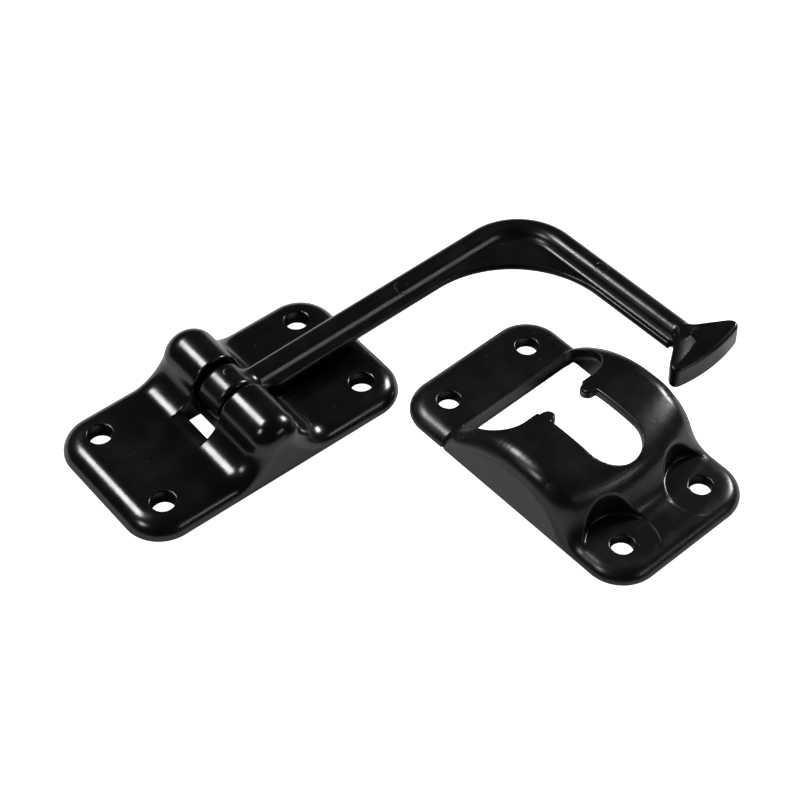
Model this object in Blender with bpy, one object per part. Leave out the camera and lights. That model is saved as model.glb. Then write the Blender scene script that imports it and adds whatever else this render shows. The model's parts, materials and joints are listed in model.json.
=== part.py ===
"""Two-part door holder, in metres, +Z up, lying on the plane z = 0.

The hinge plate screws to the wall. Its raised hump holds a pin, and an L-shaped arm with a T-head
swings on that pin. The socket plate screws to the door, and its hollow hood catches the T-head.
Both plates lie on their backs. The arm reaches out past the hinge plate's right wing, just
clear of it, and its stiff knuckle holds it there.
"""

import math

import bmesh
import bpy
from mathutils import Matrix, Vector
from mathutils.geometry import interpolate_bezier

MM = 0.001
GAP = 0.3 * MM

# Where the two plates lie, so that the origin is below the middle of the whole object.
HINGE_PLACE = Vector((-33.35 * MM, 37.35 * MM, 0.0))
SOCKET_FROM_HINGE = Vector((55.8 * MM, -57.2 * MM, 0.0))
SOCKET_TURN = math.radians(-87.0)

# Screw holes, the same pattern on both plates.
HOLE_SPACING_X = 57.15 * MM
HOLE_SPACING_Y = 25.4 * MM
HOLE_SIDES = 20

# Hinge plate.
HINGE_LENGTH = 76.2 * MM
HINGE_WIDTH = 42.0 * MM
HINGE_THICK = 4.4 * MM
HINGE_CORNER = 9.6 * MM
HINGE_EDGE = 3.9 * MM
HINGE_HOLE_RADIUS = 3.05 * MM
AXIS_HEIGHT = 8.8 * MM
HUMP_RADIUS = 6.7 * MM
HUMP_FOOT = 4.4 * MM
HUMP_END_RADIUS = 4.8 * MM
SLOT_WIDTH = 10.6 * MM
SLOT_OFFSET = 0.7 * MM
SLOT_HALF_LENGTH = 14.0 * MM
WINDOW_START = 5.0 * MM
WINDOW_END = 9.8 * MM
SEAT_FLOOR = 2.4 * MM

# Hinge pin, pushed into a blind bore from the hump's far end.
PIN_RADIUS = 1.6 * MM
PIN_LENGTH = 35.0 * MM
PIN_OFFSET = 2.7 * MM
PIN_CHAMFER = 0.4 * MM

# Arm, drawn in its own plane: leg one along +X from the pin, leg two bent towards -Y.
ARM_TILT = math.radians(1.71)
KNUCKLE_RADIUS = 6.0 * MM
KNUCKLE_WIDTH = 8.4 * MM
KNUCKLE_OFFSET = 0.9 * MM
ROD_RADIUS = 3.4 * MM
BEND_CENTRE = Vector((77.0 * MM, -13.0 * MM))
BEND_RADIUS = 13.0 * MM
LEG_SPLAY = math.radians(3.5)
LEG_TWO_LENGTH = 40.0 * MM
WEB_THICK = 2.0 * MM
WEB_REACH = 5.1 * MM
WEB_NECK = 3.8 * MM
WEB_START = 14.0 * MM
GUSSET_RADIUS = 25.8 * MM
HEAD_THICK = 6.8 * MM
HEAD_HALF_WIDTH = 11.5 * MM
HEAD_DEPTH = 11.9 * MM
HEAD_ARC_RADIUS = 40.0 * MM
HEAD_FLARE = math.radians(56)
HEAD_TIP_RADIUS = 2.2 * MM
HEAD_EDGE = 1.1 * MM

# Socket plate.
SOCKET_LENGTH = 75.6 * MM
SOCKET_WIDTH = 44.4 * MM
SOCKET_THICK = 3.5 * MM
SOCKET_CORNER = 9.6 * MM
SOCKET_EDGE = 3.2 * MM
SOCKET_HOLE_RADIUS = 2.7 * MM
HOOD_HEIGHT = 16.1 * MM
HOOD_EDGE = 4.5 * MM
HOOD_WALL = 2.6 * MM
HOOD_BOW = 11.0
RELIEF_RADIUS = 8.7 * MM
RELIEF_WALL = 2.2 * MM
MOUTH_FRONT = -19.3 * MM
MOUTH_HALF_WIDTH = 17.8 * MM
MOUTH_BACK = -5.3 * MM
MOUTH_FRONT_CORNER = 1.5 * MM
MOUTH_BACK_CORNER = 8.0 * MM
NUB_CENTRE = Vector((-2.6 * MM, 6.6 * MM))
NUB_RADIUS = 1.9 * MM
SLOT_HALF_WIDTH = 7.1 * MM
SLOT_END_CENTRE = 11.4 * MM

ALONG_Y = Matrix.Rotation(math.radians(90), 4, "X")


def clear_scene():
    for item in list(bpy.data.objects):
        bpy.data.objects.remove(item, do_unlink=True)


def make_collection(name):
    group = bpy.data.collections.new(name)
    bpy.context.scene.collection.children.link(group)
    return group


def make_material(name, colour, roughness, metallic):
    material = bpy.data.materials.new(name)
    material.use_nodes = True
    shader = material.node_tree.nodes["Principled BSDF"]
    shader.inputs["Base Color"].default_value = (*colour, 1.0)
    shader.inputs["Roughness"].default_value = roughness
    shader.inputs["Metallic"].default_value = metallic
    return material


def arc(centre, radius, start, end, steps):
    """Points on an arc in the plane, from one angle to another in degrees."""
    points = []
    for step in range(steps + 1):
        angle = math.radians(start + (end - start) * step / steps)
        points.append((centre[0] + radius * math.cos(angle), centre[1] + radius * math.sin(angle)))
    return points


def rounded_rectangle(length, width, radius, steps):
    x = length / 2 - radius
    y = width / 2 - radius
    outline = []
    for centre, start in (((x, y), 0), ((-x, y), 90), ((-x, -y), 180), ((x, -y), 270)):
        outline += arc(centre, radius, start, start + 90, steps)
    return outline


def mesh_object(name, mesh, group):
    item = bpy.data.objects.new(name, mesh)
    group.objects.link(item)
    return item


def curve_to_mesh(curve, matrix, group):
    """Turn a curve object into a welded mesh object, with its place in the mesh."""
    bpy.context.view_layer.update()
    evaluated = curve.evaluated_get(bpy.context.evaluated_depsgraph_get())
    mesh = bpy.data.meshes.new_from_object(evaluated)
    mesh.transform(matrix)
    name = curve.name
    bpy.data.objects.remove(curve, do_unlink=True)
    item = mesh_object(name, mesh, group)
    with_bmesh(item, weld)
    return item


def with_bmesh(item, change, *arguments):
    solid = bmesh.new()
    solid.from_mesh(item.data)
    change(solid, *arguments)
    bmesh.ops.recalc_face_normals(solid, faces=solid.faces)
    solid.to_mesh(item.data)
    solid.free()


def weld(solid):
    bmesh.ops.remove_doubles(solid, verts=solid.verts, dist=1e-6)
    flat = math.radians(0.5)
    bmesh.ops.dissolve_limit(solid, angle_limit=flat, verts=solid.verts, edges=solid.edges)


def extrude_outline(name, outline, thickness, matrix, group):
    """A flat outline in the XY plane, thickened evenly about it and then moved by the matrix."""
    data = bpy.data.curves.new(name, "CURVE")
    data.dimensions = "2D"
    data.fill_mode = "BOTH"
    data.extrude = thickness / 2
    spline = data.splines.new("POLY")
    spline.points.add(len(outline) - 1)
    for point, (x, y) in zip(spline.points, outline):
        point.co = (x, y, 0.0, 1.0)
    spline.use_cyclic_u = True
    return curve_to_mesh(mesh_object(name, data, group), matrix, group)


def slab(name, outline, bottom, top, group):
    middle = Matrix.Translation((0.0, 0.0, (bottom + top) / 2))
    return extrude_outline(name, outline, top - bottom, middle, group)


def cylinder(name, radius, bottom, top, place, sides, group):
    solid = bmesh.new()
    bmesh.ops.create_cone(
        solid, cap_ends=True, segments=sides, radius1=radius, radius2=radius, depth=top - bottom
    )
    mesh = bpy.data.meshes.new(name)
    solid.to_mesh(mesh)
    solid.free()
    mesh.transform(Matrix.Translation((place[0], place[1], (bottom + top) / 2)))
    return mesh_object(name, mesh, group)


def pin_shape(name, radius, length, sides, group):
    """A cylinder along Y, centred on the pin's axis."""
    item = cylinder(name, radius, -length / 2, length / 2, (0.0, 0.0), sides, group)
    item.data.transform(ALONG_Y)
    return item


def bevel_where(solid, chosen, width, segments):
    edges = [edge for edge in solid.edges if chosen(edge)]
    bmesh.ops.bevel(
        solid, geom=edges, offset=width, segments=segments, profile=0.5, affect="EDGES",
        clamp_overlap=True,
    )


def is_rim(height):
    """True for the sharp outer edges that lie in the plane z = height."""

    def test(edge):
        flat = all(abs(vert.co.z - height) < 1e-7 for vert in edge.verts)
        return flat and edge.calc_face_angle(0.0) > 1.0

    return test


def combine(item, other, operation):
    """Boolean the other object into this one, and take the other object away."""
    modifier = item.modifiers.new(operation, "BOOLEAN")
    modifier.operation = operation
    modifier.solver = "EXACT"
    modifier.object = other
    bpy.context.view_layer.update()
    evaluated = item.evaluated_get(bpy.context.evaluated_depsgraph_get())
    mesh = bpy.data.meshes.new_from_object(evaluated)
    item.modifiers.clear()
    item.data = mesh
    bpy.data.objects.remove(other, do_unlink=True)


def screw_places():
    for x in (-HOLE_SPACING_X / 2, HOLE_SPACING_X / 2):
        for y in (-HOLE_SPACING_Y / 2, HOLE_SPACING_Y / 2):
            yield x, y


def cut_screw_holes(plate, radius, cutters):
    for place in screw_places():
        hole = cylinder("hole_cutter", radius, -2 * MM, 25 * MM, place, HOLE_SIDES, cutters)
        combine(plate, hole, "DIFFERENCE")


def rounded_plate(name, length, width, thick, corner, edge, group):
    outline = rounded_rectangle(length, width, corner, 7)
    plate = slab(name, outline, 0.0, thick, group)
    with_bmesh(plate, bevel_where, is_rim(thick), edge, 4)
    return plate


def ridge(name, profile, width, top, end_radius, group):
    """A profile in X and Z run across the plate, with its top rounded down at both ends."""
    body = extrude_outline(name, profile, width, ALONG_Y, group)
    base = min(z for x, z in profile) - 1 * MM
    y = width / 2 - end_radius
    z = top - end_radius
    side = [(-width / 2, base), (width / 2, base)]
    side += arc((y, z), end_radius, 0, 90, 6) + arc((-y, z), end_radius, 90, 180, 6)
    across = Matrix.Rotation(math.radians(90), 4, "Z") @ ALONG_Y
    envelope = extrude_outline("ridge_envelope", side, 90 * MM, across, group)
    combine(body, envelope, "INTERSECT")
    return body


def hump_profile():
    foot_x = HUMP_RADIUS + HUMP_FOOT
    foot_z = HINGE_THICK + HUMP_FOOT
    sunk = HINGE_THICK - 2 * MM
    profile = [(foot_x, sunk)]
    profile += arc((foot_x, foot_z), HUMP_FOOT, 270, 180, 5)
    profile += arc((0.0, AXIS_HEIGHT), HUMP_RADIUS, 0, 180, 18)
    profile += arc((-foot_x, foot_z), HUMP_FOOT, 0, -90, 5)
    profile.append((-foot_x, sunk))
    return profile


def cut_bore(plate, cutters):
    """The pin's bore, blind at its near end and open at the hump's far end."""
    start = PIN_OFFSET - PIN_LENGTH / 2 - GAP
    end = HINGE_WIDTH / 2 + 2 * MM
    bore = pin_shape("bore_cutter", PIN_RADIUS + GAP, end - start, 24, cutters)
    bore.data.transform(Matrix.Translation((0.0, (start + end) / 2, AXIS_HEIGHT)))
    combine(plate, bore, "DIFFERENCE")


def cut_slot(plate, cutters):
    """The gap across the hump for the knuckle, down to the wings, with a seat and two windows."""
    low = SLOT_OFFSET - SLOT_WIDTH / 2
    high = SLOT_OFFSET + SLOT_WIDTH / 2

    def cut(start, end, floor):
        outline = [(start, low), (end, low), (end, high), (start, high)]
        combine(plate, slab("slot_cutter", outline, floor, 25 * MM, cutters), "DIFFERENCE")

    cut(-SLOT_HALF_LENGTH, SLOT_HALF_LENGTH, HINGE_THICK - 0.1 * MM)
    cut(-WINDOW_END, WINDOW_END, SEAT_FLOOR)
    cut(WINDOW_START, WINDOW_END, -2 * MM)
    cut(-WINDOW_END, -WINDOW_START, -2 * MM)


def make_hinge_plate(parts, cutters):
    plate = rounded_plate(
        "hinge_plate", HINGE_LENGTH, HINGE_WIDTH, HINGE_THICK, HINGE_CORNER, HINGE_EDGE, parts
    )
    top = AXIS_HEIGHT + HUMP_RADIUS
    hump = ridge("hump", hump_profile(), HINGE_WIDTH, top, HUMP_END_RADIUS, cutters)
    combine(plate, hump, "UNION")
    cut_bore(plate, cutters)
    cut_slot(plate, cutters)
    cut_screw_holes(plate, HINGE_HOLE_RADIUS, cutters)
    return plate


def make_pin(parts):
    pin = pin_shape("hinge_pin", PIN_RADIUS, PIN_LENGTH, 24, parts)

    def at_end(edge):
        return all(abs(abs(vert.co.y) - PIN_LENGTH / 2) < 1e-7 for vert in edge.verts)

    with_bmesh(pin, bevel_where, at_end, PIN_CHAMFER, 1)
    pin.data.transform(Matrix.Translation((0.0, PIN_OFFSET, 0.0)))
    return pin


def leg_two(along, across):
    """A point beside leg two, from the end of the bend. Positive across is outwards, to +X."""
    start = BEND_CENTRE + BEND_RADIUS * Vector((math.cos(LEG_SPLAY), math.sin(LEG_SPLAY)))
    forward = Vector((math.sin(LEG_SPLAY), -math.cos(LEG_SPLAY)))
    outward = Vector((math.cos(LEG_SPLAY), math.sin(LEG_SPLAY)))
    return tuple(start + along * forward + across * outward)


def centre_line():
    """The rod's middle, from just inside the knuckle to just inside the T-head."""
    path = [(2 * MM, 0.0)]
    path += arc(BEND_CENTRE, BEND_RADIUS, 90, math.degrees(LEG_SPLAY), 10)
    path.append(leg_two(LEG_TWO_LENGTH + 3 * MM, 0.0))
    return path


def rod(cutters):
    data = bpy.data.curves.new("rod", "CURVE")
    data.dimensions = "3D"
    data.bevel_depth = ROD_RADIUS
    data.bevel_resolution = 4
    data.use_fill_caps = True
    path = centre_line()
    spline = data.splines.new("POLY")
    spline.points.add(len(path) - 1)
    for point, (x, y) in zip(spline.points, path):
        point.co = (x, y, 0.0, 1.0)
    return curve_to_mesh(mesh_object("rod", data, cutters), Matrix.Identity(4), cutters)


def gusset_edge():
    """The web's inner edge: beside leg one, round the inside of the bend, beside leg two.

    The arc's centre is the point at the same distance from both legs.
    """
    distance = WEB_REACH + GUSSET_RADIUS
    bend_end = Vector(leg_two(0.0, 0.0))
    drop = (bend_end.y + distance) * math.sin(LEG_SPLAY)
    centre = (bend_end.x - (distance - drop) / math.cos(LEG_SPLAY), -distance)
    edge = [(3 * MM, -WEB_NECK), (WEB_START, -WEB_NECK), (WEB_START + 4 * MM, -WEB_REACH)]
    edge += arc(centre, GUSSET_RADIUS, 90, math.degrees(LEG_SPLAY), 12)
    edge.append(leg_two(LEG_TWO_LENGTH + 1 * MM, -WEB_REACH))
    return edge


def web(cutters):
    outline = centre_line() + list(reversed(gusset_edge()))
    return extrude_outline("web", outline, WEB_THICK, Matrix.Identity(4), cutters)


def head_outline():
    """The T-head in the arm's plane: a fan from the neck to two round tips and an outer arc."""
    half = HEAD_HALF_WIDTH - HEAD_TIP_RADIUS
    middle = HEAD_DEPTH - HEAD_ARC_RADIUS
    spread = math.degrees(math.asin(half / (HEAD_ARC_RADIUS - HEAD_TIP_RADIUS)))
    depth = middle + half / math.tan(math.radians(spread))
    leave = 90 + math.degrees(HEAD_FLARE)
    side_x = depth - HEAD_TIP_RADIUS * math.sin(HEAD_FLARE)
    side_y = half + HEAD_TIP_RADIUS * math.cos(HEAD_FLARE)
    neck = (side_x - (side_y - ROD_RADIUS) / math.tan(HEAD_FLARE), ROD_RADIUS)
    outline = [(0.0, -ROD_RADIUS), (neck[0], -neck[1])]
    outline += arc((depth, -half), HEAD_TIP_RADIUS, -leave, -spread, 6)
    outline += arc((middle, 0.0), HEAD_ARC_RADIUS, -spread * 0.85, spread * 0.85, 6)
    outline += arc((depth, half), HEAD_TIP_RADIUS, spread, leave, 6)
    outline += [neck, (0.0, ROD_RADIUS)]
    return outline


def head(cutters):
    outline = [leg_two(LEG_TWO_LENGTH + along, across) for along, across in head_outline()]
    fan = extrude_outline("head", outline, HEAD_THICK, Matrix.Identity(4), cutters)

    def outer(edge):
        return is_rim(HEAD_THICK / 2)(edge) or is_rim(-HEAD_THICK / 2)(edge)

    with_bmesh(fan, bevel_where, outer, HEAD_EDGE, 2)
    return fan


def make_arm(parts, cutters):
    arm = pin_shape("arm", KNUCKLE_RADIUS, KNUCKLE_WIDTH, 32, parts)
    arm.data.transform(Matrix.Translation((0.0, KNUCKLE_OFFSET, 0.0)))
    for piece in (rod(cutters), web(cutters), head(cutters)):
        combine(arm, piece, "UNION")
    bore = pin_shape("bore_cutter", PIN_RADIUS + GAP, KNUCKLE_WIDTH + 4 * MM, 24, cutters)
    combine(arm, bore, "DIFFERENCE")
    return arm


def hood_profile(inset):
    """The hood's side view, as one smooth line over the top, lowered by the inset."""
    top = HOOD_HEIGHT
    wing = SOCKET_THICK
    knots = (
        ((-21.0 * MM, wing), (-17.5 * MM, 8.9 * MM), (-8.0 * MM, top), (3.0 * MM, top)),
        ((3.0 * MM, top), (10.5 * MM, top), (18.5 * MM, top), (22.0 * MM, 10.0 * MM)),
        ((22.0 * MM, 10.0 * MM), (23.7 * MM, 7.0 * MM), (25.0 * MM, wing), (29.0 * MM, wing)),
    )
    line = []
    for start, leave, arrive, end in knots:
        steps = interpolate_bezier(Vector(start), Vector(leave), Vector(arrive), Vector(end), 8)
        line += [Vector(step).to_2d() for step in steps[:-1]]
    line.append(Vector(knots[-1][-1]))
    return [tuple(point) for point in offset_inwards(line, inset)]


def offset_inwards(line, distance):
    """The line moved to its right-hand side, which is the solid side of a line run from -X to +X."""
    moved = []
    for place, point in enumerate(line):
        ahead = line[min(place + 1, len(line) - 1)]
        behind = line[max(place - 1, 0)]
        along = (ahead - behind).normalized()
        moved.append(point + distance * Vector((along.y, -along.x)))
    return moved


def bow(solid, start):
    """Curve the hood's far slope in plan, so that its corners draw back from the wing."""
    for step in range(-4, 5):
        cut = step * SOCKET_WIDTH / 9
        geometry = solid.verts[:] + solid.edges[:] + solid.faces[:]
        bmesh.ops.bisect_plane(solid, geom=geometry, plane_co=(0, cut, 0), plane_no=(0, 1, 0))
    for vert in solid.verts:
        share = min(1.0, max(0.0, (vert.co.x - start) / (12 * MM)))
        vert.co.x -= share * HOOD_BOW * vert.co.y**2


def hood(cutters):
    profile = hood_profile(0.0)
    sunk = SOCKET_THICK - 2 * MM
    profile = [(profile[0][0], sunk)] + profile + [(profile[-1][0], sunk)]
    body = ridge("hood", profile, SOCKET_WIDTH, HOOD_HEIGHT, HOOD_EDGE, cutters)
    with_bmesh(body, bow, 3 * MM)
    return body


def cavity_cutter(cutters):
    """The hood's hollow, open at the back of the plate, kept clear of the two screw reliefs."""
    floor = -2 * MM
    low = HOOD_WALL / 2
    line = [(x, z) for x, z in hood_profile(HOOD_WALL) if x > MOUTH_FRONT and z > low]
    profile = [(MOUTH_FRONT, floor), (MOUTH_FRONT, line[0][1])] + line + [(line[-1][0], floor)]
    width = SOCKET_WIDTH - 2 * HOOD_WALL
    hollow = ridge("cavity_cutter", profile, width, HOOD_HEIGHT - HOOD_WALL, 2.0 * MM, cutters)
    with_bmesh(hollow, bow, 3 * MM)
    for x, y in screw_places():
        if x > 0:
            radius = RELIEF_RADIUS + RELIEF_WALL
            post = cylinder("relief_post", radius, -5 * MM, 25 * MM, (x, y), 32, cutters)
            combine(hollow, post, "DIFFERENCE")
    return hollow


def mouth_outline():
    """The hood's opening in plan: a wide mouth, two nubs, and a slot with a round end."""
    front = MOUTH_FRONT + MOUTH_FRONT_CORNER
    side = MOUTH_HALF_WIDTH - MOUTH_FRONT_CORNER
    half = arc((front, side), MOUTH_FRONT_CORNER, 180, 90, 3)
    back = (MOUTH_BACK - MOUTH_BACK_CORNER, MOUTH_HALF_WIDTH - MOUTH_BACK_CORNER)
    half += arc(back, MOUTH_BACK_CORNER, 90, 0, 8)
    half += arc(NUB_CENTRE, NUB_RADIUS, 180, 345, 8)
    half.append((NUB_CENTRE.x + NUB_RADIUS + 0.6 * MM, SLOT_HALF_WIDTH))
    half += arc((SLOT_END_CENTRE, 0.0), SLOT_HALF_WIDTH, 90, 10, 8)
    return half + [(x, -y) for x, y in reversed(half)]


def make_socket_plate(parts, cutters):
    plate = rounded_plate(
        "socket_plate", SOCKET_LENGTH, SOCKET_WIDTH, SOCKET_THICK, SOCKET_CORNER, SOCKET_EDGE, parts
    )
    combine(plate, hood(cutters), "UNION")
    combine(plate, cavity_cutter(cutters), "DIFFERENCE")
    mouth = slab("mouth_cutter", mouth_outline(), -3 * MM, 25 * MM, cutters)
    combine(plate, mouth, "DIFFERENCE")
    seat = SOCKET_THICK - 0.1 * MM
    for x, y in screw_places():
        if x > 0:
            relief = cylinder("relief", RELIEF_RADIUS, seat, 25 * MM, (x, y), 40, cutters)
            combine(plate, relief, "DIFFERENCE")
    cut_screw_holes(plate, SOCKET_HOLE_RADIUS, cutters)
    return plate


def finish(item, material, location, turn):
    """Give a part its material and smooth shading, and put it in its place."""
    item.data.materials.clear()
    item.data.materials.append(material)
    item.data.shade_smooth()
    item.data.set_sharp_from_angle(angle=math.radians(35))
    item.location = location
    item.rotation_euler = turn


def main():
    clear_scene()
    parts = make_collection("door_holder")
    cutters = make_collection("cutters")
    black = make_material("black_plastic", (0.012, 0.012, 0.013), 0.3, 0.0)
    arm_black = make_material("black_arm_plastic", (0.014, 0.014, 0.015), 0.32, 0.0)
    satin = make_material("black_socket_plastic", (0.014, 0.014, 0.015), 0.4, 0.0)
    steel = make_material("pin_steel", (0.55, 0.55, 0.56), 0.35, 1.0)
    axis = HINGE_PLACE + Vector((0.0, 0.0, AXIS_HEIGHT))
    finish(make_hinge_plate(parts, cutters), black, HINGE_PLACE, (0.0, 0.0, 0.0))
    finish(make_pin(parts), steel, axis, (0.0, 0.0, 0.0))
    finish(make_arm(parts, cutters), arm_black, axis, (0.0, -ARM_TILT, 0.0))
    socket_place = HINGE_PLACE + SOCKET_FROM_HINGE
    finish(make_socket_plate(parts, cutters), satin, socket_place, (0.0, 0.0, SOCKET_TURN))


main()
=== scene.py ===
"""Looks for the two-part door holder: fine moulded surfaces, black plastics, steel pin, studio.

Each moulding is written as a field, a formula that gives the distance from any point to the
part's skin. A mesh is grown on the field's zero level and pressed onto it, so every rounded
edge and fillet is real geometry. Lengths inside the fields are in millimetres.
"""

import json
import math

import bpy
import numpy as np
from mathutils import Matrix, Vector


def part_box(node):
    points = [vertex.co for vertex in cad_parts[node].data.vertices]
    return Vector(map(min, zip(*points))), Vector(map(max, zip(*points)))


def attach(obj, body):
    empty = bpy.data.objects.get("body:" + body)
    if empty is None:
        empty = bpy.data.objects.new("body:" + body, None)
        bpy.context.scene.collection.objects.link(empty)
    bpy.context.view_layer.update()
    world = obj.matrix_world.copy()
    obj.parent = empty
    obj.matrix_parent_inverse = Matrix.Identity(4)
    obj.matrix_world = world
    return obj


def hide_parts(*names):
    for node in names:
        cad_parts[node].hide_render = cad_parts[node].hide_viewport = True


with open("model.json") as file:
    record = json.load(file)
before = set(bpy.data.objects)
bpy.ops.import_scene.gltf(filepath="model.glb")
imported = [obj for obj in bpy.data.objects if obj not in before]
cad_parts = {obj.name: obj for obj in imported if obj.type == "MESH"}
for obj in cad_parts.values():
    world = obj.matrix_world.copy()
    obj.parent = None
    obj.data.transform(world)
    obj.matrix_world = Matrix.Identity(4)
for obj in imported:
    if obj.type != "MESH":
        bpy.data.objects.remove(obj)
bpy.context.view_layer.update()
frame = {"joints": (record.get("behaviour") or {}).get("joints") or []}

MM = 0.001

# Both plates: the screw holes' pattern and the small rounds on sharp edges.
HOLE_X = 57.15 / 2
HOLE_Y = 25.4 / 2
HOLE_LIP = 0.35
BASE_EDGE = 0.4

# Hinge plate. A squash below 1 makes an edge's round wider than it is high.
HINGE_THICK = 4.4
HINGE_CORNER = 9.6
HINGE_EDGE = 4.3
HINGE_SQUASH = 0.82
HINGE_HOLE = 2.9
HUMP_RADIUS = 6.8
HUMP_DRAFT = math.radians(17)
HUMP_FOOT = 5.2
HUMP_END = 5.2
HUMP_END_RISE = 6.0
HINGE_SQUASH_RISE = 4.0
SLOT_Y = 0.7
SLOT_HALF = 5.3
SLOT_REACH = 14.0
WINDOW_START = 5.0
WINDOW_END = 9.9
SEAT_RADIUS = 6.35
SLOT_LIP = 0.45
SEAT_LIP = 0.3
WINDOW_LIP = 0.2
PIN_RADIUS = 1.6
PIN_Y = 2.7
PIN_HALF = 17.5
PIN_CHAMFER = 0.4
BORE_LIP = 0.2
CLEARANCE = 0.3

# Arm, in its own plane: leg one along +X from the pin, leg two bent towards -Y.
ARM_TILT = math.radians(1.71)
KNUCKLE_RADIUS = 6.0
KNUCKLE_Y = 0.9
KNUCKLE_HALF = 4.15
KNUCKLE_EDGE = 1.3
KNUCKLE_FILLET = 1.6
KNUCKLE_BORE_LIP = 0.3
DIMPLE = (1.3, 1.2)
DIMPLE_RADIUS = 1.5
DIMPLE_DEPTH = 0.7
DIMPLE_EDGE = 0.1
DIMPLE_LIP = 0.15
ROD_RADIUS = 3.35
BEND_X = 77.0
BEND_RADIUS = 13.0
LEG_SPLAY = math.radians(3.5)
LEG_TWO = 40.0
WEB_HALF = 1.0
WEB_REACH = 5.1
WEB_NECK = 3.8
WEB_START = 2.0
WEB_NECK_END = 7.0
WEB_FULL = 12.0
WEB_EDGE = 0.8
WEB_FILLET = 1.1
GUSSET_RADIUS = 25.8
HEAD_HALF_THICK = 3.35
HEAD_HALF_WIDTH = 11.5
HEAD_DEPTH = 11.9
HEAD_ARC = 40.0
HEAD_NECK = 2.8
HEAD_FLARE = math.radians(56)
HEAD_TIP = 2.2
HEAD_SIDE_TIP = 2.0
HEAD_EDGE = 1.0
HEAD_SHIFT = 0.4
HEAD_FILLET = 1.0
DISH_DEPTH = 0.95
DISH_START = 0.6
DISH_END = 6.5
ROD_INTO_HEAD = 4.0
WEB_INTO_HEAD = 2.0
MARK_RADIUS = 1.6
MARKS = ((50.0, -1.3), (90.6, -27.7))

# Socket plate.
SOCKET_TURN = math.radians(-87)
SOCKET_LENGTH = 75.6
SOCKET_WIDTH = 44.4
SOCKET_THICK = 3.5
SOCKET_CORNER = 9.6
SOCKET_EDGE = 3.4
SOCKET_SQUASH = 0.72
SOCKET_HOLE = 2.7
HOOD_TOP = 16.1
HOOD_EDGE = 4.8
HOOD_EDGE_RISE = 7.0
HOOD_WALL = 2.6
HOOD_BOW = 0.011
BOW_START = 3.0
BOW_RAMP = 12.0
CAVITY_END = 24.5
CAVITY_EDGE = 2.0
CAVITY_LIP = 0.35
POST_EDGE = 0.8
RELIEF = 8.7
RELIEF_FLOOR = 3.4
RELIEF_WALL = 2.2
RELIEF_EDGE = 0.6
RELIEF_LIP = 0.5
MOUTH_FRONT = -19.3
MOUTH_BACK = -5.3
MOUTH_HALF = 17.8
MOUTH_FRONT_CORNER = 1.5
MOUTH_BACK_CORNER = 8.0
MOUTH_LIP = 0.5
NUB_X = -2.6
NUB_Y = 6.6
NUB_RADIUS = 1.9
NUB_FILLET = 0.3
THROAT_HALF = 7.1
THROAT_END = 11.4
THROAT_START = MOUTH_FRONT + 4
THROAT_CORNER = 0.4

# Mesh grid.
STEP = 0.36
PIN_STEP = 0.2
MARGIN = 1.7
NUDGE = 0.02
PRESS_ROUNDS = 3


# --- fields ---------------------------------------------------------------------------------


def rounded_max(a, b, radius):
    """What two shapes share, with a round edge where their skins meet."""
    corner = np.hypot(np.maximum(a + radius, 0), np.maximum(b + radius, 0))
    return np.minimum(-radius, np.maximum(a, b)) + corner


def rounded_min(a, b, radius):
    """Two shapes joined, with a fillet where their skins meet."""
    return -rounded_max(-a, -b, radius)


def plan(x, y, length, width, corner):
    """A rounded rectangle about the origin."""
    dx = np.abs(x) - length / 2 + corner
    dy = np.abs(y) - width / 2 + corner
    outside = np.hypot(np.maximum(dx, 0), np.maximum(dy, 0))
    return outside + np.minimum(np.maximum(dx, dy), 0) - corner


def ramp(value, start, end):
    share = np.clip((value - start) / (end - start), 0, 1)
    return share * share * (3 - 2 * share)


def mix(a, b, share):
    return a + (b - a) * share


def screw_holes(x, y, radius):
    return np.hypot(np.abs(x) - HOLE_X, np.abs(y) - HOLE_Y) - radius


def hinge_size():
    low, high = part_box("hinge_plate")
    return (high.x - low.x) / MM, (high.y - low.y) / MM


AXIS = Vector(next(j["pos_m"] for j in frame["joints"] if j["name"] == "arm_swing"))
AXIS_HEIGHT = AXIS.z / MM
HINGE_LENGTH, HINGE_WIDTH = hinge_size()


def hinge_field(x, y, z):
    """The hinge plate: a wing on either side of a rounded hump, which the slot splits."""
    rise = z - AXIS_HEIGHT
    across = np.abs(x)
    flank = across * math.cos(HUMP_DRAFT) + rise * math.sin(HUMP_DRAFT)
    above = rise * math.cos(HUMP_DRAFT) - across * math.sin(HUMP_DRAFT) > 0
    hump = np.where(above, np.hypot(x, rise), flank) - HUMP_RADIUS
    top = rounded_min(z - HINGE_THICK, hump, HUMP_FOOT)
    edge = mix(HINGE_EDGE, HUMP_END, ramp(z, HINGE_THICK, HINGE_THICK + HUMP_END_RISE))
    outline = plan(x, y, HINGE_LENGTH, HINGE_WIDTH, HINGE_CORNER)
    squash = mix(HINGE_SQUASH, 1, ramp(z, HINGE_THICK, HINGE_THICK + HINGE_SQUASH_RISE))
    body = rounded_max(outline * squash, top, edge)
    body = rounded_max(body, -z, BASE_EDGE)
    body = rounded_max(body, -slot_field(x, y, rise), SLOT_LIP)
    body = rounded_max(body, -screw_holes(x, y, HINGE_HOLE), HOLE_LIP)
    bore = np.maximum(np.hypot(x, rise) - PIN_RADIUS, PIN_Y - PIN_HALF - y) - CLEARANCE
    return rounded_max(body, -bore, BORE_LIP)


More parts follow.
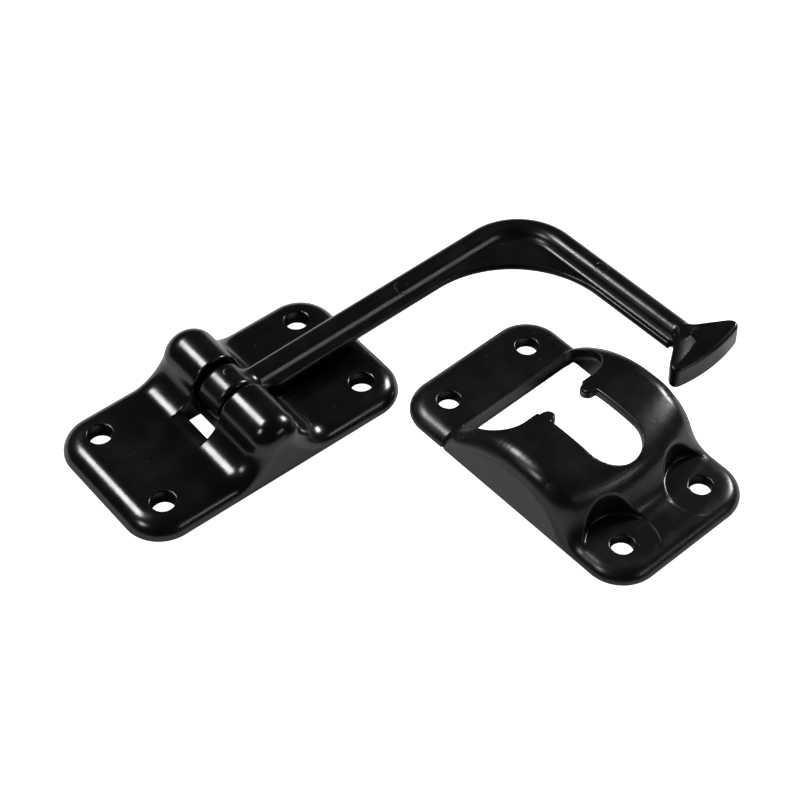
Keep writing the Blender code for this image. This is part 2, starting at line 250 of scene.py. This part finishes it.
def slot_field(x, y, rise):
    """The gap for the knuckle: down to the wings, with a round seat between two windows."""
    across = np.abs(x)
    beside = np.abs(y - SLOT_Y) - SLOT_HALF
    gap = np.maximum(np.maximum(beside, across - SLOT_REACH), HINGE_THICK - AXIS_HEIGHT - rise)
    under = np.maximum(SEAT_RADIUS - np.hypot(x, rise), rise)
    seat = rounded_max(across - WINDOW_START, under, SEAT_LIP)
    windows = rounded_max(np.maximum(beside, across - WINDOW_END), -seat, WINDOW_LIP)
    return np.minimum(gap, windows)


def pin_field(x, y, z):
    return rounded_max(np.hypot(x, z) - PIN_RADIUS, np.abs(y - PIN_Y) - PIN_HALF, PIN_CHAMFER)


def beside_leg_two(x, y):
    """How far a point is along leg two from the bend, and how far outwards from its middle."""
    dx = x - BEND_X - BEND_RADIUS * math.cos(LEG_SPLAY)
    dy = y + BEND_RADIUS - BEND_RADIUS * math.sin(LEG_SPLAY)
    along = dx * math.sin(LEG_SPLAY) - dy * math.cos(LEG_SPLAY)
    return along, dx * math.cos(LEG_SPLAY) + dy * math.sin(LEG_SPLAY)


def head_field(along, across, z):
    """The T-head: a fan between two straight sides and an outer arc, with a dished top."""
    across = across + HEAD_SHIFT
    arc = np.hypot(along - HEAD_DEPTH + HEAD_ARC, across) - HEAD_ARC
    reach = np.abs(across) - ROD_RADIUS
    side = reach * math.cos(HEAD_FLARE) - (along - HEAD_NECK) * math.sin(HEAD_FLARE)
    tips = rounded_max(arc, np.abs(across) - HEAD_HALF_WIDTH, HEAD_TIP)
    fan = rounded_max(tips, side, HEAD_SIDE_TIP)
    dish = DISH_DEPTH * ramp(-fan, DISH_START, DISH_END)
    return rounded_max(fan, np.abs(z) - HEAD_HALF_THICK + dish, HEAD_EDGE)


def arm_field(x, y, z):
    """The arm: a bent rod with a web inside the bend, a T-head and a bored knuckle."""
    along, outward = beside_leg_two(x, y)
    spine = rounded_max(y, outward, BEND_RADIUS)
    rod = np.hypot(spine, z) - ROD_RADIUS
    rod = np.maximum(rod, np.maximum(-x, along - LEG_TWO - ROD_INTO_HEAD))
    reach = mix(WEB_NECK, WEB_REACH, ramp(x, WEB_NECK_END, WEB_FULL))
    beyond = rounded_max(y + reach, outward + WEB_REACH, GUSSET_RADIUS)
    ends = np.maximum(WEB_START - x, along - LEG_TWO - WEB_INTO_HEAD)
    web = np.maximum(np.maximum(spine, -beyond), ends)
    web = rounded_max(web, np.abs(z) - WEB_HALF, WEB_EDGE)
    arm = rounded_min(rod, web, WEB_FILLET)
    arm = rounded_min(arm, head_field(along - LEG_TWO, outward, z), HEAD_FILLET)
    sides = np.abs(y - KNUCKLE_Y) - KNUCKLE_HALF
    barrel = rounded_max(np.hypot(x, z) - KNUCKLE_RADIUS, sides, KNUCKLE_EDGE)
    arm = rounded_min(arm, barrel, KNUCKLE_FILLET)
    round_mark = np.hypot(x - DIMPLE[0], y - DIMPLE[1]) - DIMPLE_RADIUS
    dimple = rounded_max(round_mark, KNUCKLE_RADIUS - DIMPLE_DEPTH - z, DIMPLE_EDGE)
    arm = rounded_max(arm, -dimple, DIMPLE_LIP)
    return rounded_max(arm, PIN_RADIUS + CLEARANCE - np.hypot(x, z), KNUCKLE_BORE_LIP)


def bezier(knots, steps=24):
    """Points along joined Bezier curves."""
    share = np.linspace(0, 1, steps, endpoint=False)[:, None]
    line = []
    for curve in knots:
        a, b, c, d = (np.array(point) for point in curve)
        rest = 1 - share
        line.append(rest**3 * a + 3 * rest**2 * share * b + 3 * rest * share**2 * c + share**3 * d)
    line.append(np.array([knots[-1][-1]]))
    return np.concatenate(line)


HOOD_LINE = bezier((
    ((-21.0, SOCKET_THICK), (-17.5, 8.9), (-8.0, HOOD_TOP), (3.0, HOOD_TOP)),
    ((3.0, HOOD_TOP), (10.5, HOOD_TOP), (18.5, HOOD_TOP), (22.0, 10.0)),
    ((22.0, 10.0), (23.7, 7.0), (25.0, SOCKET_THICK), (29.0, SOCKET_THICK)),
))
HOOD_SLOPE = np.gradient(HOOD_LINE[:, 1], HOOD_LINE[:, 0])


def hood_station(x, y):
    """The place along the hood's side view, with its far slope bowed in plan."""
    station = x
    for _ in range(3):
        share = np.clip((station - BOW_START) / BOW_RAMP, 0, 1)
        station = x + share * HOOD_BOW * y**2
    return station


def mouth_field(x, y):
    """The hood's opening in plan: a wide mouth and a throat, with a nub on either side."""
    across = np.abs(y)
    middle = (MOUTH_FRONT + MOUTH_BACK) / 2
    corner = np.where(x > middle, MOUTH_BACK_CORNER, MOUTH_FRONT_CORNER)
    corner = np.minimum(corner, (MOUTH_BACK - MOUTH_FRONT) / 2)
    wide = plan(x - middle, y, MOUTH_BACK - MOUTH_FRONT, 2 * MOUTH_HALF, corner)
    throat = np.hypot(np.maximum(x - THROAT_END, 0), y) - THROAT_HALF
    throat = np.maximum(throat, THROAT_START - x)
    opening = rounded_min(wide, throat, THROAT_CORNER)
    nub = np.hypot(x - NUB_X, across - NUB_Y) - NUB_RADIUS
    return rounded_max(opening, -nub, NUB_FILLET)


def socket_field(x, y, z):
    """The socket plate: a hollow hood on a plate, its mouth, and two wells beside the hood."""
    station = hood_station(x, y)
    height = np.interp(station, HOOD_LINE[:, 0], HOOD_LINE[:, 1])
    slope = np.interp(station, HOOD_LINE[:, 0], HOOD_SLOPE, 0, 0)
    top = (z - height) / np.sqrt(1 + slope**2)
    outline = plan(x, y, SOCKET_LENGTH, SOCKET_WIDTH, SOCKET_CORNER)
    up = ramp(z, SOCKET_THICK, SOCKET_THICK + HOOD_EDGE_RISE)
    body = rounded_max(outline * mix(SOCKET_SQUASH, 1, up), top, mix(SOCKET_EDGE, HOOD_EDGE, up))
    body = rounded_max(body, -z, BASE_EDGE)
    relief = np.hypot(x - HOLE_X, np.abs(y) - HOLE_Y) - RELIEF
    cavity = rounded_max(outline + HOOD_WALL, top + HOOD_WALL, CAVITY_EDGE)
    cavity = np.maximum(cavity, np.maximum(MOUTH_FRONT - x, station - CAVITY_END))
    cavity = rounded_max(cavity, RELIEF_WALL - relief, POST_EDGE)
    body = rounded_max(body, -cavity, CAVITY_LIP)
    body = rounded_max(body, -mouth_field(x, y), MOUTH_LIP)
    well = rounded_max(relief, RELIEF_FLOOR - z, RELIEF_EDGE)
    body = rounded_max(body, -well, RELIEF_LIP)
    return rounded_max(body, -screw_holes(x, y, SOCKET_HOLE), HOLE_LIP)


# --- meshes ---------------------------------------------------------------------------------


def crossings(value, axis):
    """Grid edges along one axis whose two ends lie on opposite sides of the skin."""
    count = value.shape[axis]
    first = np.take(value, np.arange(count - 1), axis)
    second = np.take(value, np.arange(1, count), axis)
    place = np.argwhere((first < 0) != (second < 0))
    start = first[tuple(place.T)]
    end = second[tuple(place.T)]
    return place, start / (start - end), start < 0


def gradient(field, points):
    slope = np.empty_like(points)
    for axis in range(3):
        step = np.zeros(3)
        step[axis] = NUDGE
        slope[:, axis] = field(*(points + step).T) - field(*(points - step).T)
    return slope / (2 * NUDGE)


def grow(field, low, high, step):
    """Vertices and quads on a field's skin, one vertex in each grid cell that the skin crosses."""
    low = np.array(low) - MARGIN * step
    sizes = np.ceil((np.array(high) + MARGIN * step - low) / step).astype(int) + 1
    lines = [low[axis] + step * np.arange(sizes[axis]) for axis in range(3)]
    value = field(*np.meshgrid(*lines, indexing="ij"))
    strides = np.array((sizes[1] * sizes[2], sizes[2], 1))
    cells, places, quads = [], [], []
    for axis in range(3):
        place, share, outwards = crossings(value, axis)
        point = place.astype(float)
        point[:, axis] += share
        one, two = np.eye(3, dtype=int)[[(axis + 1) % 3, (axis + 2) % 3]]
        around = [(place - shift) @ strides for shift in (0 * one, one, one + two, two)]
        cells += around
        places += [point] * 4
        quad = np.stack(around, 1)
        quad[~outwards] = quad[~outwards][:, ::-1]
        quads.append(quad)
    names, slots = np.unique(np.concatenate(cells), return_inverse=True)
    places = np.concatenate(places)
    total = np.stack([np.bincount(slots, places[:, a]) for a in range(3)], 1)
    points = low + step * total / np.bincount(slots)[:, None]
    for _ in range(PRESS_ROUNDS):
        slope = gradient(field, points)
        square = np.maximum((slope**2).sum(1), 0.05)
        shift = slope * (field(*points.T) / square)[:, None]
        length = np.linalg.norm(shift, axis=1)
        points -= shift * np.minimum(1, 0.5 * step / np.maximum(length, 1e-9))[:, None]
    return points, np.searchsorted(names, np.concatenate(quads)), gradient(field, points)


def moulding(name, field, low, high, step, place):
    """A piece grown on its field, in millimetres, and put in its place in the frame."""
    points, quads, normals = grow(field, low, high, step)
    turn = np.array(place.to_3x3())
    points = MM * points @ turn.T + np.array(place.translation)
    normals = (normals / np.linalg.norm(normals, axis=1)[:, None]) @ turn.T
    mesh = bpy.data.meshes.new(name)
    mesh.from_pydata(points.tolist(), [], quads.tolist())
    mesh.shade_smooth()
    mesh.normals_split_custom_set_from_vertices(normals.tolist())
    piece = bpy.data.objects.new(name, mesh)
    bpy.context.scene.collection.objects.link(piece)
    return piece


# --- materials ------------------------------------------------------------------------------


class Shader:
    """A material's node tree, with short calls to add and join nodes."""

    def __init__(self, name):
        self.material = bpy.data.materials.new(name)
        self.material.use_nodes = True
        self.tree = self.material.node_tree
        self.principled = self.tree.nodes["Principled BSDF"]
        self.object = self.tree.nodes.new("ShaderNodeTexCoord").outputs["Object"]

    def feed(self, socket, value):
        if isinstance(value, bpy.types.NodeSocket):
            self.tree.links.new(value, socket)
        else:
            socket.default_value = value

    def set(self, **inputs):
        for name, value in inputs.items():
            self.feed(self.principled.inputs[name.replace("_", " ")], value)

    def math(self, operation, a, b=0.0, clamp=False):
        node = self.tree.nodes.new("ShaderNodeMath")
        node.operation = operation
        node.use_clamp = clamp
        self.feed(node.inputs[0], a)
        self.feed(node.inputs[1], b)
        return node.outputs[0]

    def stretch(self, scale, turn=(0.0, 0.0, 0.0)):
        node = self.tree.nodes.new("ShaderNodeMapping")
        self.feed(node.inputs["Vector"], self.object)
        node.inputs["Rotation"].default_value = turn
        node.inputs["Scale"].default_value = scale
        return node.outputs[0]

    def noise(self, size, detail, vector=None):
        """Soft noise, about 0 to 1, with blotches of a size given in millimetres."""
        node = self.tree.nodes.new("ShaderNodeTexNoise")
        self.feed(node.inputs["Vector"], vector or self.object)
        node.inputs["Scale"].default_value = 1 / (size * MM)
        node.inputs["Detail"].default_value = detail
        return node.outputs[0]

    def between(self, value, low, high, to_low=0.0, to_high=1.0):
        node = self.tree.nodes.new("ShaderNodeMapRange")
        node.interpolation_type = "SMOOTHSTEP"
        self.feed(node.inputs["Value"], value)
        limits = {"From Min": low, "From Max": high, "To Min": to_low, "To Max": to_high}
        for name, number in limits.items():
            node.inputs[name].default_value = number
        return node.outputs[0]

    def blend(self, share, a, b):
        node = self.tree.nodes.new("ShaderNodeMix")
        node.data_type = "RGBA"
        self.feed(node.inputs["Factor"], share)
        self.feed(node.inputs["A"], (*a, 1.0) if isinstance(a, tuple) else a)
        self.feed(node.inputs["B"], (*b, 1.0) if isinstance(b, tuple) else b)
        return node.outputs["Result"]

    def bump(self, height, depth, normal=None):
        """Raise the surface by the height times a depth given in millimetres."""
        node = self.tree.nodes.new("ShaderNodeBump")
        node.inputs["Distance"].default_value = depth * MM
        self.feed(node.inputs["Height"], height)
        if normal:
            self.feed(node.inputs["Normal"], normal)
        return node.outputs[0]


def specks(shader, spacing, radius):
    """Sparse small dots, 1 in a dot's middle: one cell in a few holds one."""
    node = shader.tree.nodes.new("ShaderNodeTexVoronoi")
    shader.feed(node.inputs["Vector"], shader.object)
    node.inputs["Scale"].default_value = 1 / (spacing * MM)
    dot = shader.between(node.outputs["Distance"], radius / spacing, 0.4 * radius / spacing)
    chance = shader.tree.nodes.new("ShaderNodeSeparateColor")
    shader.feed(chance.inputs[0], node.outputs["Color"])
    return shader.math("MULTIPLY", dot, shader.math("GREATER_THAN", chance.outputs[0], 0.72))


def scratches(shader, turn, length, width, level):
    """Fine lines along one direction, where stretched noise peaks."""
    vector = shader.stretch((width / length, 1.0, 1.0), (0.0, 0.0, turn))
    line = shader.noise(width, 1.0, vector)
    patch = shader.noise(9.0, 1.0)
    fine = shader.between(line, level, level + 0.04)
    return shader.math("MULTIPLY", fine, shader.between(patch, 0.5, 0.62))


def ring(shader, place, radius):
    """A thin circle as seen from above, 1 on its line: the print of an ejector pin."""
    reach = shader.tree.nodes.new("ShaderNodeVectorMath")
    reach.operation = "DISTANCE"
    flat = shader.tree.nodes.new("ShaderNodeVectorMath")
    flat.operation = "MULTIPLY"
    shader.feed(flat.inputs[0], shader.object)
    flat.inputs[1].default_value = (1.0, 1.0, 0.0)
    shader.feed(reach.inputs[0], flat.outputs[0])
    reach.inputs[1].default_value = (*place, 0.0)
    off = shader.math("ABSOLUTE", shader.math("SUBTRACT", reach.outputs["Value"], radius * MM))
    return shader.between(off, 0.05 * MM, 0.16 * MM, 1.0, 0.0)


def black_plastic(name, colour, roughness, grain, marks=()):
    """Moulded black plastic: drifting gloss, faint orange peel, dust, hairlines and ring marks."""
    shader = Shader(name)
    drift = shader.noise(7.0, 3.0)
    flow = shader.noise(2.2, 2.0, shader.stretch((0.35, 1.0, 1.0), (0.0, 0.0, 0.5)))
    dust = specks(shader, 2.4, 0.16)
    long_lines = scratches(shader, 0.6, 9.0, 0.12, 0.73)
    short_lines = scratches(shader, -0.9, 7.0, 0.1, 0.74)
    lines = shader.math("ADD", long_lines, short_lines, True)
    lighter = tuple(1.2 * part for part in colour)
    tint = shader.blend(shader.between(drift, 0.35, 0.7), colour, lighter)
    tint = shader.blend(shader.math("MULTIPLY", dust, 0.12), tint, (0.5, 0.5, 0.48))
    tint = shader.blend(shader.math("MULTIPLY", lines, 0.025), tint, (0.4, 0.4, 0.4))
    rough = shader.between(drift, 0.3, 0.75, roughness, roughness + 0.07)
    rough = shader.math("ADD", rough, shader.math("MULTIPLY", lines, 0.12))
    rough = shader.math("ADD", rough, shader.math("MULTIPLY", dust, 0.3), True)
    peel = shader.bump(shader.noise(1.3, 2.0), grain)
    peel = shader.bump(flow, grain * 0.8, peel)
    peel = shader.bump(shader.noise(0.28, 1.0), grain * 0.16, peel)
    for place in marks:
        peel = shader.bump(ring(shader, place, MARK_RADIUS), -0.12, peel)
    shader.set(Base_Color=tint, Roughness=rough, Normal=peel, IOR=1.5)
    return shader.material


def brushed_steel(name):
    shader = Shader(name)
    lines = shader.noise(0.12, 2.0, shader.stretch((1.0, 0.05, 1.0)))
    tint = shader.blend(shader.noise(2.0, 3.0), (0.42, 0.42, 0.43), (0.62, 0.62, 0.62))
    rough = shader.between(lines, 0.3, 0.7, 0.25, 0.42)
    shader.set(Base_Color=tint, Metallic=1.0, Roughness=rough, Normal=shader.bump(lines, 0.01))
    return shader.material


def floor_surface(name):
    """Pale sweep, overexposed for the camera alone, so that it stays dim in reflections."""
    shader = Shader(name)
    tint = shader.blend(shader.noise(60.0, 2.0), (0.86, 0.86, 0.86), (0.9, 0.9, 0.9))
    direct = shader.tree.nodes.new("ShaderNodeLightPath").outputs["Is Camera Ray"]
    shader.set(Base_Color=tint, Roughness=0.9, Emission_Color=(1.0, 1.0, 1.0, 1.0))
    shader.set(Emission_Strength=shader.math("MULTIPLY", direct, 1.2))
    return shader.material


# --- pieces ---------------------------------------------------------------------------------


def dress(piece, body, node, material):
    piece.data.materials.append(material)
    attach(piece, body)
    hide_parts(node)


def make_pieces():
    base = Matrix.Translation((AXIS.x, AXIS.y, 0))
    half_x = HINGE_LENGTH / 2
    half_y = HINGE_WIDTH / 2
    top = AXIS_HEIGHT + HUMP_RADIUS
    plate_box = ((-half_x, -half_y, 0), (half_x, half_y, top))
    plate = moulding("hinge_moulding", hinge_field, *plate_box, STEP, base)
    gloss = black_plastic("hinge_black", (0.003, 0.003, 0.0031), 0.18, 0.012)
    dress(plate, "hinge_plate", "hinge_plate", gloss)

    near = PIN_Y - PIN_HALF
    far = PIN_Y + PIN_HALF
    pin_box = ((-PIN_RADIUS, near, -PIN_RADIUS), (PIN_RADIUS, far, PIN_RADIUS))
    pin = moulding("pin_rod", pin_field, *pin_box, PIN_STEP, Matrix.Translation(AXIS))
    dress(pin, "hinge_plate", "hinge_pin", brushed_steel("pin_steel"))

    swing = Matrix.Translation(AXIS) @ Matrix.Rotation(-ARM_TILT, 4, "Y")
    low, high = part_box("arm")
    reach = (high.x - AXIS.x) / MM + 2
    drop = (low.y - AXIS.y) / MM - 1
    knuckle_end = KNUCKLE_Y + KNUCKLE_HALF
    arm_box = ((-KNUCKLE_RADIUS, drop, -KNUCKLE_RADIUS), (reach, knuckle_end, KNUCKLE_RADIUS))
    arm = moulding("arm_moulding", arm_field, *arm_box, STEP, swing)
    marks = [(AXIS.x + x * MM, AXIS.y + y * MM) for x, y in MARKS]
    arm_black = black_plastic("arm_black", (0.003, 0.003, 0.0031), 0.2, 0.012, marks)
    dress(arm, "arm", "arm", arm_black)

    low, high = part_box("socket_plate")
    middle = Matrix.Translation(((low.x + high.x) / 2, (low.y + high.y) / 2, 0))
    turned = middle @ Matrix.Rotation(SOCKET_TURN, 4, "Z")
    corner = np.array((SOCKET_LENGTH / 2, SOCKET_WIDTH / 2))
    socket_box = ((*-corner, 0), (*corner, HOOD_TOP))
    socket = moulding("socket_moulding", socket_field, *socket_box, STEP, turned)
    satin = black_plastic("socket_black", (0.0035, 0.0035, 0.0036), 0.25, 0.02)
    dress(socket, "socket_plate", "socket_plate", satin)


# --- studio ---------------------------------------------------------------------------------

# In metres. The floor lies a hair below the plates' backs.
VIEW_FROM = Vector((-0.22402, -0.26180, 0.41626))
VIEW_PITCH = math.radians(40.746)
VIEW_TURN = math.radians(-38.876)
VIEW_LENS = 104.35
LIGHT_DISTANCE = 1.2
FLOOR_REACH = 3.0
FLOOR_HEIGHT = -0.0005


def make_floor():
    mesh = bpy.data.meshes.new("floor")
    square = ((-1, -1), (1, -1), (1, 1), (-1, 1))
    corners = [(x * FLOOR_REACH, y * FLOOR_REACH, FLOOR_HEIGHT) for x, y in square]
    mesh.from_pydata(corners, [], [(0, 1, 2, 3)])
    floor = bpy.data.objects.new("floor", mesh)
    bpy.context.scene.collection.objects.link(floor)
    mesh.materials.append(floor_surface("pale_floor"))


def softbox(name, azimuth, elevation, width, height, strength):
    """A rectangular light that looks at the origin from a direction given in degrees."""
    data = bpy.data.lights.new(name, "AREA")
    data.shape = "RECTANGLE"
    data.size = width
    data.size_y = height
    data.energy = strength * width * height
    light = bpy.data.objects.new(name, data)
    bpy.context.scene.collection.objects.link(light)
    turn = math.radians(azimuth)
    tilt = math.radians(elevation)
    flat = math.cos(tilt) * LIGHT_DISTANCE
    place = Vector((flat * math.cos(turn), flat * math.sin(turn), LIGHT_DISTANCE * math.sin(tilt)))
    aim = (-place).to_track_quat("-Z", "Y").to_matrix().to_4x4()
    light.matrix_world = Matrix.Translation(place) @ aim


def make_studio():
    world = bpy.data.worlds.new("studio")
    bpy.context.scene.world = world
    world.use_nodes = True
    back = world.node_tree.nodes["Background"]
    back.inputs["Color"].default_value = (1.0, 1.0, 1.0, 1.0)
    back.inputs["Strength"].default_value = 0.02
    softbox("window_left", 114, 53, 0.36, 0.26, 85)
    softbox("window_right", 3, 32, 0.34, 0.26, 120)
    softbox("strip_near", -67, 29, 0.5, 0.08, 22)
    softbox("window_behind", 168, 45, 0.24, 0.24, 40)


def make_camera():
    data = bpy.data.cameras.new("camera")
    data.sensor_width = 36.0
    data.lens = VIEW_LENS
    data.clip_start = 0.01
    camera = bpy.data.objects.new("camera", data)
    bpy.context.scene.collection.objects.link(camera)
    camera.location = VIEW_FROM
    camera.rotation_euler = (VIEW_PITCH, 0.0, VIEW_TURN)
    bpy.context.scene.camera = camera


make_pieces()
make_floor()
make_studio()
make_camera()
bpy.context.scene.view_settings.view_transform = "Standard"
